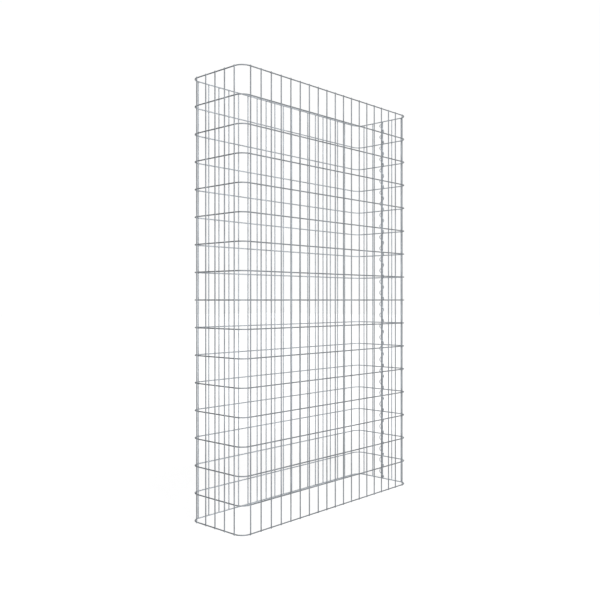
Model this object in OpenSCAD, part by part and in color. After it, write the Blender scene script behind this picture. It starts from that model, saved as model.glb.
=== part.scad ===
// Gabion wall basket, empty: one sheet of welded wire mesh folded round into a tall, slim
// cell, open at the top and bottom, with its two edges laced together by a spiral wire.
// +Z is up, +X points from the plain end to the laced end and the front faces -Y. The origin
// is on the ground at the middle of the whole footprint.

/* [Mesh] */
// Distance between neighbouring uprights
upright_pitch = 50; // [40:1:80]
// Distance between neighbouring hoops
hoop_pitch = 100; // [60:1:150]
// Diameter of the mesh wire
wire_d = 4.5; // [3:0.1:6]
// Share of a wire's diameter that it sinks into the wire it crosses, where they are welded
weld_share = 0.25; // [0.1:0.01:0.25]

/* [Basket] */
// Spaces between hoops, from the bottom to the top
bays = 16; // [4:1:20]
// Spaces between uprights along the front and the back
side_spaces = 18; // [6:1:20]
// Spaces between uprights across the plain end
end_spaces = 4; // [4:2:8]
// Radius of the folded corners, to the middle of the wire
fold_r = 36; // [25:1:60]
// Straight run between the last upright of the front or back and the fold beside the seam
seam_fold_run = 6; // [0:1:12]
// Height that the uprights run on above the middle of the top hoop
top_tip = 2.5; // [2.5:0.5:10]
// Height that the uprights run on below the middle of the bottom hoop
foot_tip = 2.5; // [2.5:0.5:10]

/* [Seam] */
// Clear distance between the two edge wires
edge_gap = 0.5; // [0.4:0.1:4]
// Distance that the hoops' cut ends run past the middle of the edge wire
hoop_end_run = 1.5; // [0.5:0.1:1.7]
// Diameter of the spiral's wire
coil_wire_d = 3.5; // [2:0.1:5]
// Turns of the spiral in each space between hoops
coil_turns_per_bay = 2; // [1:1:4]
// Clear distance between the spiral and the edge wires inside it
coil_clearance = 0.3; // [0.2:0.1:0.6]

/* [Hidden] */

// Colours of the zinc-coated wires
mesh_colour = [0.66, 0.67, 0.68];
spiral_colour = [0.74, 0.75, 0.76];

// A mesh wire has eight flat sides, with flats towards the wires that it crosses
wire_sides = 8;
half_side_angle = 180 / wire_sides;
wire_corner_r = wire_d / 2 / cos(half_side_angle);
// A fold is a true arc
fold_fn = 96;

// The uprights stand outside the hoops by this much, middle to middle
wire_offset = wire_d * (1 - weld_share);
// Each folded corner carries its uprights and this much of the flat sides beside them
corner_run = 6;

// Distance between the middles of the two edge wires
seam_gap = wire_d + edge_gap;

// Hoops measured to the middle of the wire
length = side_spaces * upright_pitch + 2 * fold_r + seam_fold_run;
depth = end_spaces * upright_pitch + 2 * fold_r;
height = foot_tip + bays * hoop_pitch + top_tip;
hoop_heights = [for (i = [0 : bays]) foot_tip + i * hoop_pitch];

// The spiral goes round both edge wires, and its axis is level with the middle of the hoop
// wires. Its rings are joined by straight chords, which come nearer to the axis than the
// rings do.
coil_rings_per_turn = 12;
coil_sides = 6;
coil_wire_r = coil_wire_d / 2;
edge_wire_reach = norm([wire_offset, seam_gap / 2]) + wire_corner_r;
coil_r = (edge_wire_reach + coil_clearance) / cos(180 / coil_rings_per_turn) + coil_wire_r;
coil_turns = bays * coil_turns_per_bay;
coil_pitch = hoop_pitch / coil_turns_per_bay;
// Degrees turned for each millimetre climbed. Negative: the spiral is left-handed.
coil_twist = -360 / coil_pitch;

// The plain end reaches to its uprights and the seam end to its spiral, so the hoops' middle
// is a little off the middle of the footprint
plain_end_reach = length / 2 + wire_offset + wire_d / 2;
seam_end_reach = length / 2 + coil_r + coil_wire_r;
hoop_middle_x = (plain_end_reach - seam_end_reach) / 2;
plain_end_x = hoop_middle_x - length / 2;
seam_end_x = hoop_middle_x + length / 2;
front_y = -depth / 2;

// Middles of the uprights along the front and the back, and across the two ends
side_upright_x = [for (i = [0 : side_spaces]) plain_end_x + fold_r + i * upright_pitch];
half_end = end_spaces / 2 * upright_pitch;
plain_end_upright_y = [for (i = [0 : end_spaces]) -half_end + i * upright_pitch];
seam_upright_y = [for (i = [0 : end_spaces / 2]) seam_gap / 2 + i * upright_pitch];

// One straight mesh wire standing on the origin
module wire(run) {
    rotate([0, 0, half_side_angle])
        cylinder(h = run, r = wire_corner_r, $fn = wire_sides);
}

// One straight mesh wire lying along X
module wire_along_x(from_x, to_x) {
    translate([from_x, 0, 0]) rotate([0, 90, 0]) wire(to_x - from_x);
}

// Flat mesh in the XZ plane of its hoop wires, with the uprights on its -Y side
module flat_mesh(upright_x, from_x, to_x) {
    union() {
        for (z = hoop_heights) translate([0, 0, z]) wire_along_x(from_x, to_x);
        for (x = upright_x) translate([x, -wire_offset, 0]) wire(height);
    }
}

// Quarter turn of one hoop about the origin, from -Y round to +X
module hoop_fold() {
    rotate([0, 0, -90])
        rotate_extrude(angle = 90, $fn = fold_fn)
            translate([fold_r, 0]) rotate(half_side_angle)
                circle(r = wire_corner_r, $fn = wire_sides);
}

// Folded corner about the origin, its flat sides running on towards -X and +Y. The first
// upright stands at side_run along the -X side. The other stands round_run along the fold
// from the end of the +Y side.
module folded_corner(side_run, round_run) {
    outer_r = fold_r + wire_offset;
    union() {
        for (z = hoop_heights) translate([0, 0, z]) {
            hoop_fold();
            translate([0, -fold_r, 0]) wire_along_x(-side_run - corner_run, 0);
            translate([fold_r, 0, 0]) rotate([0, 0, 90]) wire_along_x(0, corner_run);
        }
        translate([-side_run, -outer_r, 0]) wire(height);
        translate([sqrt(outer_r * outer_r - round_run * round_run), -round_run, 0]) wire(height);
    }
}

module front_panel() {
    color(mesh_colour) translate([0, front_y, 0])
        flat_mesh(
            [for (i = [1 : side_spaces - 1]) side_upright_x[i]],
            side_upright_x[0] + corner_run, side_upright_x[side_spaces] - corner_run
        );
}

module back_panel() {
    mirror([0, 1, 0]) front_panel();
}

module plain_end_panel() {
    color(mesh_colour) translate([plain_end_x, 0, 0]) rotate([0, 0, -90])
        flat_mesh(
            [for (i = [1 : end_spaces - 1]) plain_end_upright_y[i]],
            -half_end + corner_run, half_end - corner_run
        );
}

// From the seam to the back corner
module seam_end_back_panel() {
    color(mesh_colour) translate([seam_end_x, 0, 0]) rotate([0, 0, 90])
        flat_mesh(
            [for (i = [0 : end_spaces / 2 - 1]) seam_upright_y[i]],
            seam_gap / 2 - hoop_end_run, half_end - corner_run
        );
}

module seam_end_front_panel() {
    mirror([0, 1, 0]) seam_end_back_panel();
}

module front_plain_corner() {
    color(mesh_colour) translate([plain_end_x + fold_r, front_y + fold_r, 0])
        mirror([1, 0, 0]) folded_corner(0, 0);
}

module back_plain_corner() {
    mirror([0, 1, 0]) front_plain_corner();
}

module front_seam_corner() {
    color(mesh_colour) translate([seam_end_x - fold_r, front_y + fold_r, 0])
        folded_corner(seam_fold_run, seam_gap / 2);
}

module back_seam_corner() {
    mirror([0, 1, 0]) front_seam_corner();
}

// Corners of the spiral wire's section where it has climbed by rise
function coil_ring(rise) =
    let (
        turned = coil_twist * rise,
        outward = [cos(turned), sin(turned), 0],
        climb = [-sin(turned) * coil_r * coil_twist * PI / 180,
                 cos(turned) * coil_r * coil_twist * PI / 180, 1],
        across = cross(outward, climb) / norm(climb)
    )
    [for (i = [0 : coil_sides - 1])
        let (a = 360 * i / coil_sides)
        outward * (coil_r + coil_wire_r * cos(a)) + across * coil_wire_r * sin(a)
            + [0, 0, rise]];

// The spiral turns about the line midway between the edge wires, from the bottom hoop to the
// top one, and passes each hoop at its outermost point
module closing_spiral() {
    rings = coil_turns * coil_rings_per_turn;
    ring_rise = coil_pitch / coil_rings_per_turn;
    points = [for (k = [0 : rings]) each coil_ring(k * ring_rise)];
    side_faces = [for (k = [0 : rings - 1], i = [0 : coil_sides - 1])
        let (
            a = k * coil_sides + i,
            b = k * coil_sides + (i + 1) % coil_sides
        )
        each [[a, b, a + coil_sides], [b, b + coil_sides, a + coil_sides]]];
    foot_face = [for (i = [coil_sides - 1 : -1 : 0]) i];
    head_face = [for (i = [0 : coil_sides - 1]) rings * coil_sides + i];
    color(spiral_colour) translate([seam_end_x, 0, foot_tip])
        polyhedron(points, concat(side_faces, [foot_face, head_face]));
}

front_panel();
back_panel();
plain_end_panel();
seam_end_front_panel();
seam_end_back_panel();
front_plain_corner();
back_plain_corner();
front_seam_corner();
back_seam_corner();
closing_spiral();
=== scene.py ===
import math

import bpy
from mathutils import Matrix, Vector


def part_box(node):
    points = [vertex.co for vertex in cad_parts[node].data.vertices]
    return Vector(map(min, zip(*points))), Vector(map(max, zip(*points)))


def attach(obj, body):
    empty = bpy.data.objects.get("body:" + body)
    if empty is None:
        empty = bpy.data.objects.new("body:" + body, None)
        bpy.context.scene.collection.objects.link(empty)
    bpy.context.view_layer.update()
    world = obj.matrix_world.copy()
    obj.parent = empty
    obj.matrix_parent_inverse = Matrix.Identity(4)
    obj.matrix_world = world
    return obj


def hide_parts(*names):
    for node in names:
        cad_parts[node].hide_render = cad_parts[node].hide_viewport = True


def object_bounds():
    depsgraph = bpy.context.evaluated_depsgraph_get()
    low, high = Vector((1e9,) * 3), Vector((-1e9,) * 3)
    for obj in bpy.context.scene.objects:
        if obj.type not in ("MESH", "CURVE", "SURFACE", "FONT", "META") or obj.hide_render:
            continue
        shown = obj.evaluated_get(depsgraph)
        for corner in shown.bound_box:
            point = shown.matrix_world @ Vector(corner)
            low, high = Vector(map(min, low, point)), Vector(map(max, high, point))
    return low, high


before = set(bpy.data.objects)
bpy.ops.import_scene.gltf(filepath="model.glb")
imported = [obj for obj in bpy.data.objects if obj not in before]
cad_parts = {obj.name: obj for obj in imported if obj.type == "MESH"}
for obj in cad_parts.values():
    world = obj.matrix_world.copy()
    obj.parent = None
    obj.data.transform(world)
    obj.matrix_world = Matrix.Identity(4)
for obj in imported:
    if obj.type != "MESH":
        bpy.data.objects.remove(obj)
cad_low, cad_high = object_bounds()


# ---- Camera ----
# The eye stands off the front's plain corner, level with the middle of the basket, so that
# the uprights stay parallel and the hoops fan out above and below it.
EYE_LEVEL = 0.8025
EYE_PAST_END = 1.6608
EYE_BEFORE_FRONT = 1.7948
SENSOR_WIDTH = 36.0
VIEW_ANGLE = math.radians(45)
look_along = Vector((0.7355, 0.6775, 0.0))
bpy.ops.object.camera_add(
    location=(cad_low.x - EYE_PAST_END, cad_low.y - EYE_BEFORE_FRONT, EYE_LEVEL),
    rotation=look_along.to_track_quat("-Z", "Y").to_euler(),
)
camera = bpy.context.object
camera.name = "camera"
camera.data.sensor_width = SENSOR_WIDTH
camera.data.lens = SENSOR_WIDTH / 2 / math.tan(VIEW_ANGLE / 2)
bpy.context.scene.camera = camera


# ---- Front and back ----
# Flat stretches of the one sheet of mesh: straight hoop wires with the uprights outside them,
# all zinc-coated steel. Each crossing is a weld, where the two wires sink into each other in a
# thin bead of zinc, and the uprights' tips are sheared off square.
WIRE_R = 0.00225
WIRE_OFFSET = 0.003375
WIRE_SIDES = 20
HOOPS = 17
HOOP_PITCH = 0.1
FIRST_HOOP = 0.0025
UPRIGHT_PITCH = 0.05
SIDE_UPRIGHTS = 17
CORNER_RUN = 0.006
SEAM_FOLD_RUN = 0.006
front_low, front_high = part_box("front_panel")
plain_low, plain_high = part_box("plain_end_panel")
front_hoop_y = front_high.y - WIRE_R
first_upright_x = front_low.x - CORNER_RUN
last_fold_x = front_high.x + CORNER_RUN + SEAM_FOLD_RUN
fold_y = plain_high.y + CORNER_RUN
WALL_HEIGHT = front_high.z


class Socket:
    """One output of a shader node. Arithmetic on it adds Math nodes."""

    def __init__(self, tree, output):
        self.tree = tree
        self.output = output

    def node(self, kind, settings, sockets, out=0):
        """Adds a node, sets it up, fills its sockets and returns one of its outputs."""
        made = self.tree.nodes.new(kind)
        for setting, value in settings.items():
            setattr(made, setting, value)
        for name, value in sockets.items():
            if isinstance(value, Socket):
                self.tree.links.new(value.output, made.inputs[name])
            else:
                made.inputs[name].default_value = value
        return Socket(self.tree, made.outputs[out])

    def maths(self, operation, *values):
        return self.node("ShaderNodeMath", {"operation": operation}, dict(enumerate(values)))

    def vector_maths(self, operation, *values, out=0):
        return self.node(
            "ShaderNodeVectorMath", {"operation": operation}, dict(enumerate(values)), out
        )

    def __add__(self, other):
        return self.maths("ADD", self, other)

    def __radd__(self, other):
        return self.maths("ADD", other, self)

    def __sub__(self, other):
        return self.maths("SUBTRACT", self, other)

    def __rsub__(self, other):
        return self.maths("SUBTRACT", other, self)

    def __mul__(self, other):
        return self.maths("MULTIPLY", self, other)

    def __rmul__(self, other):
        return self.maths("MULTIPLY", other, self)

    def between(self, low, high):
        """0 below low, 1 above high, and smooth between them."""
        return self.node(
            "ShaderNodeMapRange",
            {"interpolation_type": "SMOOTHSTEP"},
            {"Value": self, "From Min": low, "From Max": high},
        )

    def noise(self, scale, detail):
        return self.node(
            "ShaderNodeTexNoise", {}, {"Vector": self, "Scale": scale, "Detail": detail}
        )

    def mix(self, low, high):
        """A colour between low and high, with this value as the factor."""
        mixed = self.node("ShaderNodeMix", {"data_type": "RGBA"}, {0: self}, out=2)
        for socket, colour in zip(mixed.output.node.inputs[6:8], (low, high)):
            if isinstance(colour, Socket):
                colour.feed(socket)
            else:
                socket.default_value = (*colour, 1.0)
        return mixed

    def feed(self, socket):
        self.tree.links.new(self.output, socket)


# The zinc's tone is made of crystals, a longer bloom and a fine grain, in these shares.
CRYSTALS_PER_METRE = 260.0
CRYSTAL_SHARE = 0.25
BLOOM_SCALE = 14.0
BLOOM_SHARE = 0.6
GRAIN_SCALE = 900.0
GRAIN_SHARE = 0.15
# The painted shade on its outer side and the painted light on its inner side run into each other
# where the wire turns away from outward.
SIDE_BLEND = 0.45
SIDE_WANDER = 0.16
# Bloom and crystals roughen it by up to this much, and its skin is faintly uneven.
BLOOM_ROUGHENS = 0.14
CRYSTALS_ROUGHEN = 0.06
SKIN_SCALE = 420.0
SKIN_STRENGTH = 0.25
SKIN_DEPTH = 0.0003


def zinc(name, outer_painted_shade, inner_painted_light, metallic, roughness):
    """Zinc over steel, in crystals a few millimetres across, with a bloom over longer
    stretches. The side of a wire that faces out of the basket is painted darker as painted
    shade, and the side that faces in is painted brighter as painted light. Each side is given
    as its dullest and brightest crystal."""
    material = bpy.data.materials.new(name)
    material.use_nodes = True
    tree = material.node_tree
    shader = tree.nodes["Principled BSDF"]
    coordinates = tree.nodes.new("ShaderNodeTexCoord")
    place = Socket(tree, coordinates.outputs["Object"])
    facing = Socket(tree, coordinates.outputs["Normal"])
    crystals = place.node(
        "ShaderNodeTexVoronoi",
        {"feature": "F1"},
        {"Vector": place, "Scale": CRYSTALS_PER_METRE},
        out="Color",
    )
    crystal = crystals.node("ShaderNodeSeparateColor", {}, {"Color": crystals}, out="Red")
    bloom = place.noise(BLOOM_SCALE, 4.0).between(0.35, 0.7)
    grain = place.noise(GRAIN_SCALE, 2.0)
    tone = CRYSTAL_SHARE * crystal + BLOOM_SHARE * bloom + GRAIN_SHARE * grain
    # Painted shade and light: the side of each wire that faces out of the basket takes the
    # darker outer colours, and the side that faces in takes the brighter inner ones.
    core = place.vector_maths("MAXIMUM", place, (first_upright_x, -fold_y, cad_low.z))
    core = core.vector_maths("MINIMUM", core, (last_fold_x, fold_y, cad_high.z))
    outward = place.vector_maths("SUBTRACT", place, core)
    outward = outward.vector_maths("NORMALIZE", outward)
    # inside is 1 where the wire faces into the basket and takes the painted light, and 0 where
    # it faces out and takes the painted shade.
    inside = outward.vector_maths("DOT_PRODUCT", facing, outward, out="Value")
    inside = (1.0 - inside.between(-SIDE_BLEND, SIDE_BLEND)) + SIDE_WANDER * (bloom - 0.5)
    inside.mix(tone.mix(*outer_painted_shade), tone.mix(*inner_painted_light)).feed(shader.inputs["Base Color"])
    rough = roughness + BLOOM_ROUGHENS * bloom + CRYSTALS_ROUGHEN * crystal
    rough.feed(shader.inputs["Roughness"])
    shader.inputs["Metallic"].default_value = metallic
    ripples = place.noise(SKIN_SCALE, 3.0)
    skin = place.node(
        "ShaderNodeBump",
        {},
        {"Height": ripples, "Strength": SKIN_STRENGTH, "Distance": SKIN_DEPTH},
        out="Normal",
    )
    skin.feed(shader.inputs["Normal"])
    return material


# The first pair of colours is the outer side, painted darker as painted shade, and the second is
# the inner side, painted brighter as painted light.
sheet_zinc = zinc(
    "sheet_zinc",
    ((0.144, 0.155, 0.167), (0.250, 0.268, 0.289)),
    ((0.324, 0.348, 0.375), (0.503, 0.540, 0.582)),
    0.45,
    0.52,
)
# The first pair of colours is the outer side, painted darker as painted shade, and the second is
# the inner side, painted brighter as painted light.
weld_zinc = zinc(
    "weld_zinc",
    ((0.192, 0.206, 0.222), (0.315, 0.338, 0.364)),
    ((0.345, 0.370, 0.399), (0.522, 0.560, 0.604)),
    0.45,
    0.5,
)


def settle(name, material):
    """Names the new primitive, and puts its place and turn into its mesh."""
    part = bpy.context.object
    part.name = name
    part.data.materials.append(material)
    bpy.ops.object.transform_apply(location=True, rotation=True, scale=True)
    return part


def repeat(part, count, step):
    """Copies a part along step, as one mesh."""
    array = part.modifiers.new("repeat", "ARRAY")
    array.count = count
    array.use_relative_offset = False
    array.use_constant_offset = True
    array.constant_offset_displace = step
    bpy.context.view_layer.objects.active = part
    bpy.ops.object.modifier_apply(modifier=array.name)


def straight_wires(start, end):
    """The straight stretch of every hoop between two points of the lowest one."""
    run = Vector(end) - Vector(start)
    bpy.ops.object.select_all(action="DESELECT")
    bpy.ops.mesh.primitive_cylinder_add(
        vertices=WIRE_SIDES,
        radius=WIRE_R,
        depth=run.length,
        location=(Vector(start) + Vector(end)) / 2,
        rotation=run.to_track_quat("Z", "Y").to_euler(),
    )
    wires = settle("hoop_wires", sheet_zinc)
    repeat(wires, HOOPS, (0, 0, HOOP_PITCH))
    return wires


TIP_CHAMFER = 0.0006


def upright(x, y):
    """One upright, the edges of its two sheared tips worn round by the zinc."""
    bpy.ops.object.select_all(action="DESELECT")
    bpy.ops.mesh.primitive_cylinder_add(
        vertices=WIRE_SIDES, radius=WIRE_R, depth=WALL_HEIGHT, location=(x, y, WALL_HEIGHT / 2)
    )
    wire = settle("upright", sheet_zinc)
    bpy.ops.object.mode_set(mode="EDIT")
    bpy.ops.mesh.select_all(action="DESELECT")
    bpy.ops.object.mode_set(mode="OBJECT")
    for face in wire.data.polygons:
        face.select = abs(face.normal.z) > 0.9
    bpy.ops.object.mode_set(mode="EDIT")
    bpy.ops.mesh.bevel(offset=TIP_CHAMFER, segments=2)
    bpy.ops.object.mode_set(mode="OBJECT")
    return wire


BEAD_HALF_WIDTH = 0.0031
BEAD_HALF_HEIGHT = 0.0026
BEAD_HALF_DEPTH = 0.0015
BEAD_SEGMENTS = 10
BEAD_RINGS = 5


def bead(x, y, outward):
    """The bead of the lowest weld, flattened between the two wires that it joins."""
    bpy.ops.object.select_all(action="DESELECT")
    bpy.ops.mesh.primitive_uv_sphere_add(
        segments=BEAD_SEGMENTS,
        ring_count=BEAD_RINGS,
        radius=1.0,
        location=(x, y, FIRST_HOOP),
        rotation=Vector(outward).to_track_quat("Z", "Y").to_euler(),
        scale=(BEAD_HALF_WIDTH, BEAD_HALF_HEIGHT, BEAD_HALF_DEPTH),
    )
    return settle("bead", weld_zinc)


SMOOTH_ANGLE = math.radians(40)


def join_piece(name, parts, node):
    """Joins the parts that stand for one node of the frame."""
    bpy.ops.object.select_all(action="DESELECT")
    for part in parts:
        part.select_set(True)
    bpy.context.view_layer.objects.active = parts[0]
    bpy.ops.object.join()
    piece = bpy.context.object
    piece.name = name
    bpy.ops.object.shade_smooth_by_angle(angle=SMOOTH_ANGLE)
    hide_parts(node)
    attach(piece, "root")


def flat_side(name, node, start, end, first_upright, count, step, outward):
    """Hoop wires from start to end, with count uprights standing step apart outside them."""
    outward = Vector(outward)
    foot = Vector(first_upright) + outward * WIRE_OFFSET
    uprights = upright(foot.x, foot.y)
    repeat(uprights, count, step)
    weld = Vector(first_upright) + outward * WIRE_OFFSET / 2
    beads = bead(weld.x, weld.y, outward)
    repeat(beads, count, step)
    repeat(beads, HOOPS, (0, 0, HOOP_PITCH))
    join_piece(name, [straight_wires(start, end), uprights, beads], node)


for name, node, hoop_y, side in (
    ("front_mesh", "front_panel", front_hoop_y, -1),
    ("back_mesh", "back_panel", -front_hoop_y, 1),
):
    flat_side(
        name,
        node,
        (front_low.x, hoop_y, FIRST_HOOP),
        (front_high.x, hoop_y, FIRST_HOOP),
        (first_upright_x + UPRIGHT_PITCH, hoop_y, 0),
        SIDE_UPRIGHTS,
        (UPRIGHT_PITCH, 0, 0),
        (0, side, 0),
    )


# ---- Plain end ----
# The same sheet of zinc-coated mesh, carried on round two folds without a break. It closes the
# end away from the seam with three uprights between the folded corners, each welded to every
# hoop wire.
END_UPRIGHTS = 3
plain_x = plain_high.x - WIRE_R
flat_side(
    "plain_end_mesh",
    "plain_end_panel",
    (plain_x, plain_low.y, FIRST_HOOP),
    (plain_x, plain_high.y, FIRST_HOOP),
    (plain_x, UPRIGHT_PITCH - fold_y, 0),
    END_UPRIGHTS,
    (0, UPRIGHT_PITCH, 0),
    (-1, 0, 0),
)


# ---- Seam end ----
# Both edges of the zinc-coated sheet meet at the middle of this end, half a millimetre apart.
# Each carries an edge wire, and the hoop wires are sheared off just past the weld that holds it.
seam_low, seam_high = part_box("seam_end_back_panel")
seam_x = seam_low.x + WIRE_R
EDGE_WIRE_Y = 0.0025
HOOP_END_RUN = 0.0015
SEAM_UPRIGHTS = 2
for name, node, side in (
    ("seam_end_front_mesh", "seam_end_front_panel", -1),
    ("seam_end_back_mesh", "seam_end_back_panel", 1),
):
    flat_side(
        name,
        node,
        (seam_x, side * (EDGE_WIRE_Y - HOOP_END_RUN), FIRST_HOOP),
        (seam_x, side * seam_high.y, FIRST_HOOP),
        (seam_x, side * EDGE_WIRE_Y, 0),
        SEAM_UPRIGHTS,
        (0, side * UPRIGHT_PITCH, 0),
        (1, 0, 0),
    )


# ---- Folded corners ----
# The sheet is folded cold round a former, so each zinc-coated hoop wire turns a quarter circle
# between the last upright of one side and the first of the next.
FOLD_R = 0.036
FOLD_STEPS = 14
MERGE_DISTANCE = 0.00001


def hoop_bends(centre, side, end, side_run, end_run):
    """The bend of every hoop about centre. side is -1 at the front and 1 at the back, and
    end is -1 at the plain end and 1 at the seam end."""
    bpy.ops.object.select_all(action="DESELECT")
    bpy.ops.mesh.primitive_circle_add(
        vertices=WIRE_SIDES,
        radius=WIRE_R,
        location=(centre.x - end * side_run, centre.y + side * FOLD_R, FIRST_HOOP),
        rotation=(0, math.pi / 2, 0),
    )
    bends = settle("hoop_bends", sheet_zinc)
    bpy.ops.object.mode_set(mode="EDIT")
    bpy.ops.mesh.select_all(action="SELECT")
    bpy.ops.mesh.extrude_region_move(TRANSFORM_OT_translate={"value": (end * side_run, 0, 0)})
    bpy.ops.mesh.spin(
        steps=FOLD_STEPS,
        angle=side * end * math.pi / 2,
        center=(centre.x, centre.y, FIRST_HOOP),
        axis=(0, 0, 1),
    )
    bpy.ops.mesh.extrude_region_move(TRANSFORM_OT_translate={"value": (0, -side * end_run, 0)})
    bpy.ops.mesh.select_all(action="SELECT")
    bpy.ops.mesh.remove_doubles(threshold=MERGE_DISTANCE)
    bpy.ops.mesh.fill_holes(sides=0)
    bpy.ops.mesh.normals_make_consistent(inside=False)
    bpy.ops.object.mode_set(mode="OBJECT")
    repeat(bends, HOOPS, (0, 0, HOOP_PITCH))
    return bends


def folded_corner(name, node, centre, side, end, side_run, round_run):
    """One corner with its two uprights. The first stands side_run before the fold, and the
    other round_run short of the fold's far end."""
    upright_r = FOLD_R + WIRE_OFFSET
    outward = Vector((end * math.sqrt(upright_r**2 - round_run**2), side * round_run, 0))
    side_foot = centre + Vector((-end * side_run, side * upright_r, 0))
    end_foot = centre + outward
    side_weld = side_foot - Vector((0, side * WIRE_OFFSET / 2, 0))
    end_weld = end_foot - outward.normalized() * WIRE_OFFSET / 2
    beads = [bead(side_weld.x, side_weld.y, (0, side, 0)), bead(end_weld.x, end_weld.y, outward)]
    for weld in beads:
        repeat(weld, HOOPS, (0, 0, HOOP_PITCH))
    join_piece(
        name,
        [
            hoop_bends(centre, side, end, side_run + CORNER_RUN, CORNER_RUN),
            upright(side_foot.x, side_foot.y),
            upright(end_foot.x, end_foot.y),
            *beads,
        ],
        node,
    )


for name, node, side in (
    ("front_plain_bends", "front_plain_corner", -1),
    ("back_plain_bends", "back_plain_corner", 1),
):
    folded_corner(name, node, Vector((first_upright_x, side * fold_y, 0)), side, -1, 0.0, 0.0)
for name, node, side in (
    ("front_seam_bends", "front_seam_corner", -1),
    ("back_seam_bends", "back_seam_corner", 1),
):
    fold_centre = Vector((last_fold_x, side * fold_y, 0))
    folded_corner(name, node, fold_centre, side, 1, SEAM_FOLD_RUN, EDGE_WIRE_Y)


# ---- Closing spiral ----
# A left-handed spiral of thinner, brighter wire is screwed down over both edge wires, two
# turns to each space between hoops, and passes every hoop on the outside.
COIL_WIRE_R = 0.00175
COIL_SIDES = 14
COIL_STEPS = 36
COIL_TURNS = 32
COIL_PITCH = 0.05
spiral_low, spiral_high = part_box("closing_spiral")
coil_r = (spiral_high.x - spiral_low.x) / 2 - COIL_WIRE_R
coil_x = (spiral_high.x + spiral_low.x) / 2
climb = math.atan2(2 * math.pi * coil_r, COIL_PITCH)

# The first pair of colours is the outer side, painted darker as painted shade, and the second is
# the inner side, painted brighter as painted light.
spiral_zinc = zinc(
    "spiral_zinc",
    ((0.229, 0.246, 0.265), (0.360, 0.386, 0.416)),
    ((0.382, 0.410, 0.442), (0.569, 0.610, 0.658)),
    0.6,
    0.34,
)
bpy.ops.object.select_all(action="DESELECT")
bpy.ops.mesh.primitive_circle_add(
    vertices=COIL_SIDES,
    radius=COIL_WIRE_R,
    location=(coil_r, 0, 0),
    rotation=(climb, 0, 0),
)
spiral = settle("spiral_wire", spiral_zinc)
turns = spiral.modifiers.new("turns", "SCREW")
turns.axis = "Z"
turns.angle = -2 * math.pi
turns.screw_offset = COIL_PITCH
turns.iterations = COIL_TURNS
turns.steps = COIL_STEPS
turns.render_steps = COIL_STEPS
turns.use_normal_calculate = True
bpy.ops.object.modifier_apply(modifier=turns.name)
bpy.ops.object.mode_set(mode="EDIT")
bpy.ops.mesh.select_all(action="SELECT")
bpy.ops.mesh.remove_doubles(threshold=MERGE_DISTANCE)
bpy.ops.mesh.fill_holes(sides=0)
bpy.ops.mesh.normals_make_consistent(inside=False)
bpy.ops.transform.translate(value=(coil_x, 0, FIRST_HOOP))
bpy.ops.object.mode_set(mode="OBJECT")
bpy.ops.object.shade_smooth_by_angle(angle=SMOOTH_ANGLE)
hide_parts("closing_spiral")
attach(spiral, "root")


# ---- Floor ----
# A plain pale floor. Its own paint shows round the basket, with the basket's shadow on it,
# and further out it passes into a white backdrop without an edge.
FLOOR_SIZE = 60.0
FLOOR_GREY = 0.35
GLOW_NEAR = 0.86
GLOW_ADDED_FAR_OUT = 0.3
bpy.ops.object.select_all(action="DESELECT")
bpy.ops.mesh.primitive_plane_add(size=FLOOR_SIZE, location=(0, 0, cad_low.z))
floor = bpy.context.object
floor.name = "floor"
bpy.ops.object.transform_apply(location=True, rotation=True, scale=True)
floor_paint = bpy.data.materials.new("floor_paint")
floor_paint.use_nodes = True
tree = floor_paint.node_tree
shader = tree.nodes["Principled BSDF"]
shader.inputs["Base Color"].default_value = (FLOOR_GREY, FLOOR_GREY, FLOOR_GREY, 1.0)
shader.inputs["Roughness"].default_value = 0.9
shader.inputs["Specular IOR Level"].default_value = 0.2
place = Socket(tree, tree.nodes.new("ShaderNodeTexCoord").outputs["Object"])
far_out = place.vector_maths("LENGTH", place, out="Value").between(0.5, 3.0)


def rays(tree, *kinds):
    """1 for the kinds of ray that are named, and 0 for all others."""
    light_path = tree.nodes.new("ShaderNodeLightPath")
    found = Socket(tree, light_path.outputs["Is " + kinds[0] + " Ray"])
    for kind in kinds[1:]:
        found = found + Socket(tree, light_path.outputs["Is " + kind + " Ray"])
    return found.between(0.0, 1.0)


glow = GLOW_NEAR + GLOW_ADDED_FAR_OUT * far_out
backdrop = rays(tree, "Camera") * glow + rays(tree, "Glossy", "Transmission")
backdrop.mix((0.0, 0.0, 0.0), (1.0, 1.0, 1.0)).feed(shader.inputs["Emission Color"])
shader.inputs["Emission Strength"].default_value = 1.0
floor.data.materials.append(floor_paint)


# ---- Light ----
# Soft studio light: a large lamp above the viewer's right shoulder, a low wide one in front
# and a dim even light from the whole room, which is white where it is seen.
ROOM_LIGHT = (0.1, 0.1, 0.1)
ROOM_WHITE = (1.01, 1.01, 1.01)
room = bpy.data.worlds.new("room")
bpy.context.scene.world = room
room.use_nodes = True
tree = room.node_tree
seen = rays(tree, "Camera", "Glossy", "Transmission")
seen.mix(ROOM_LIGHT, ROOM_WHITE).feed(tree.nodes["Background"].inputs["Color"])
for name, place, size, watts in (
    ("shoulder_lamp", (-0.9, -2.9, 3.2), (1.6, 1.6), 80.0),
    ("low_lamp", (-1.84, -2.62, 0.4), (1.4, 0.6), 84.0),
):
    bpy.ops.object.light_add(type="AREA", location=place)
    lamp = bpy.context.object
    lamp.name = name
    lamp.data.shape = "RECTANGLE"
    lamp.data.size, lamp.data.size_y = size
    lamp.data.energy = watts
    aim = Vector((0.0, 0.0, EYE_LEVEL)) - Vector(place)
    lamp.rotation_euler = aim.to_track_quat("-Z", "Y").to_euler()

bpy.context.scene.view_settings.view_transform = "Standard"
